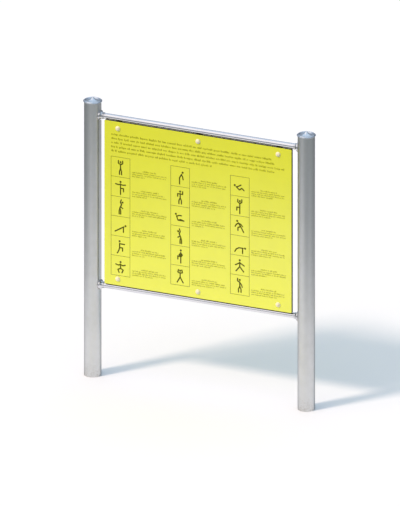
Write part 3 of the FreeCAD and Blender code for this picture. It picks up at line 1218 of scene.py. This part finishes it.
@dataclass
class Studio:
    """The floor, the daylight and the camera at the photograph's angle."""

    floor_half: float = 40.0
    floor_colour: Colour = (0.92, 0.92, 0.92)
    # Painted falloff: the floor fades to this grey away from the sign, in place of light that dims with
    # distance.
    painted_falloff_colour: Colour = (0.25, 0.275, 0.275)
    front_reach: float = 1.93
    left_fade: float = 1.4
    right_fade: float = 0.6
    fade_half: float = 0.64
    side_reach: float = 1.2
    side_end: float = 4.0
    sun_direction: Triple = (-0.41, -0.58, 0.707)
    sun_strength: float = 1.95
    sun_colour: Colour = (1.0, 0.80, 0.67)
    sun_angle: float = 9.5
    horizon: Colour = (0.3, 0.32, 0.34)
    low_sky: Colour = (0.3, 0.34, 0.4)
    zenith: Colour = (0.67, 0.81, 0.96)
    low_span: Span = (0.04, 0.3)
    high_span: Span = (0.2, 0.75)
    shade_sky: Colour = (0.12, 0.15, 0.19)
    shade_span: Span = (-0.75, 0.25)
    lamp_sky: Colour = (1.22, 1.18, 1.16)
    lamp_span: Span = (0.72, 0.97)
    azimuth: float = 24.9
    elevation: float = 20.3
    aim: Triple = (0.003, 0.0, 0.8606)
    frame_height: float = 2.944
    camera_distance: float = 12.0
    camera_reach: float = 100.0

    def build(self) -> None:
        """Makes the floor, the lights and the camera."""
        self.make_camera()
        self.make_floor()
        self.make_sun()
        self.make_sky()

    def back_vector(self) -> Vector:
        """Works out the way to the camera, the point on a unit sphere at its azimuth and elevation.

        Returns:
            The direction from the sign to the camera.
        """
        turn = math.radians(self.azimuth)
        rise = math.radians(self.elevation)
        flat = math.cos(rise)
        return Vector((math.sin(turn) * flat, -math.cos(turn) * flat, math.sin(rise)))

    def make_camera(self) -> None:
        """Makes a camera without perspective, because the photograph's uprights stay parallel."""
        data = bpy.data.cameras.new("camera")
        data.type = "ORTHO"
        data.ortho_scale = self.frame_height
        data.clip_end = self.camera_reach
        camera = bpy.data.objects.new("camera", data)
        back = self.back_vector()
        camera.location = Vector(self.aim) + self.camera_distance * back
        camera.rotation_euler = back.to_track_quat("Z", "Y").to_euler()
        bpy.context.scene.collection.objects.link(camera)
        bpy.context.scene.camera = camera

    def make_floor(self) -> None:
        """Makes the floor: white under and behind the sign, grey further off, as a painted pool of
        light.

        The painted pool eases off past its front reach, over a shorter way at the right than at the
        left, and eases off to both sides. The two are multiplied. Front and sides are those of the main
        camera's view at its set azimuth, and they stay in place when the camera moves.
        """
        material = bpy.data.materials.new("studio_floor")
        material.use_nodes = True
        graph = Graph(material.node_tree)
        vector, _, _, _ = graph.object_axes()
        turn = math.radians(self.azimuth)
        across = graph.dot(vector, Vector((math.cos(turn), math.sin(turn), 0.0)))
        behind = graph.dot(vector, Vector((-math.sin(turn), math.cos(turn), 0.0)))
        past = graph.math("SUBTRACT", graph.math("MULTIPLY", behind, -1.0), self.front_reach)
        fade = graph.ramp(across, -self.fade_half, self.fade_half, self.left_fade, self.right_fade)
        front = graph.ease(graph.math("DIVIDE", past, fade), 0.0, 1.0, 1.0, 0.0)
        side = graph.ease(graph.math("ABSOLUTE", across), self.side_reach, self.side_end, 1.0, 0.0)
        # Painted pool of light: the floor is white near the sign and fades to grey further off, as
        # falling light would make it.
        painted_light_pool = graph.math("MULTIPLY", front, side)
        colour = graph.blend(painted_light_pool, self.painted_falloff_colour, self.floor_colour)
        shader = graph.add("BsdfDiffuse", {"Color": colour})
        output = graph.add("OutputMaterial")
        graph.feed(output.inputs["Surface"], shader.outputs[0])
        corners = self.floor_half * np.array([[-1, -1, 0], [1, -1, 0], [1, 1, 0], [-1, 1, 0]])
        mesh = bpy.data.meshes.new("floor")
        mesh.from_pydata(corners.tolist(), [], [(0, 1, 2, 3)])
        mesh.materials.append(material)
        floor = bpy.data.objects.new("floor", mesh)
        bpy.context.scene.collection.objects.link(floor)

    def make_sun(self) -> None:
        """Makes the main light, high at the front left, whose glint the lamp in the sky gives."""
        data = bpy.data.lights.new("sun", "SUN")
        data.energy = self.sun_strength
        data.color = self.sun_colour
        data.angle = math.radians(self.sun_angle)
        sun = bpy.data.objects.new("sun", data)
        sun.rotation_euler = Vector(self.sun_direction).to_track_quat("Z", "Y").to_euler()
        sun.visible_glossy = False
        bpy.context.scene.collection.objects.link(sun)

    def make_sky(self) -> None:
        """Makes a soft sky: grey at the horizon, bluer and dim above it, pale overhead.

        It darkens away from the sun, and a broad lamp stands in it where the sun is. Both follow
        the cosine of the angle to the sun.
        """
        world = bpy.data.worlds.new("studio_sky")
        world.use_nodes = True
        graph = Graph(world.node_tree)
        direction = graph.add("TexCoord").outputs["Generated"]
        height = graph.add("SeparateXYZ", {0: direction}).outputs[2]
        lower = graph.blend(graph.ease(height, *self.low_span), self.horizon, self.low_sky)
        upper = graph.blend(graph.ease(height, *self.high_span), lower, self.zenith)
        toward_sun = graph.dot(direction, Vector(self.sun_direction).normalized())
        open_sky = graph.blend(graph.ease(toward_sun, *self.shade_span), self.shade_sky, upper)
        colour = graph.blend(graph.ease(toward_sun, *self.lamp_span), open_sky, self.lamp_sky)
        background = graph.add("Background", {"Color": colour})
        output = graph.add("OutputWorld")
        graph.feed(output.inputs["Surface"], background.outputs[0])
        bpy.context.scene.world = world


def main() -> None:
    """Builds the studio and the sign's sub-assemblies in order, and reports each."""
    logging.basicConfig(level=logging.INFO, format="%(name)s %(message)s")
    bpy.context.scene.view_settings.view_transform = "Standard"
    sizes = SignSizes()
    effects = EffectLibrary()
    assemblies = [
        Studio(),
        Posts(sizes, effects),
        Rails(sizes, effects),
        Panel(sizes, effects),
        Print(sizes, effects),
        Fixings(effects),
    ]
    for assembly in assemblies:
        LOG.info("building %s", type(assembly).__name__)
        assembly.build()


if __name__ == "__main__":
    main()
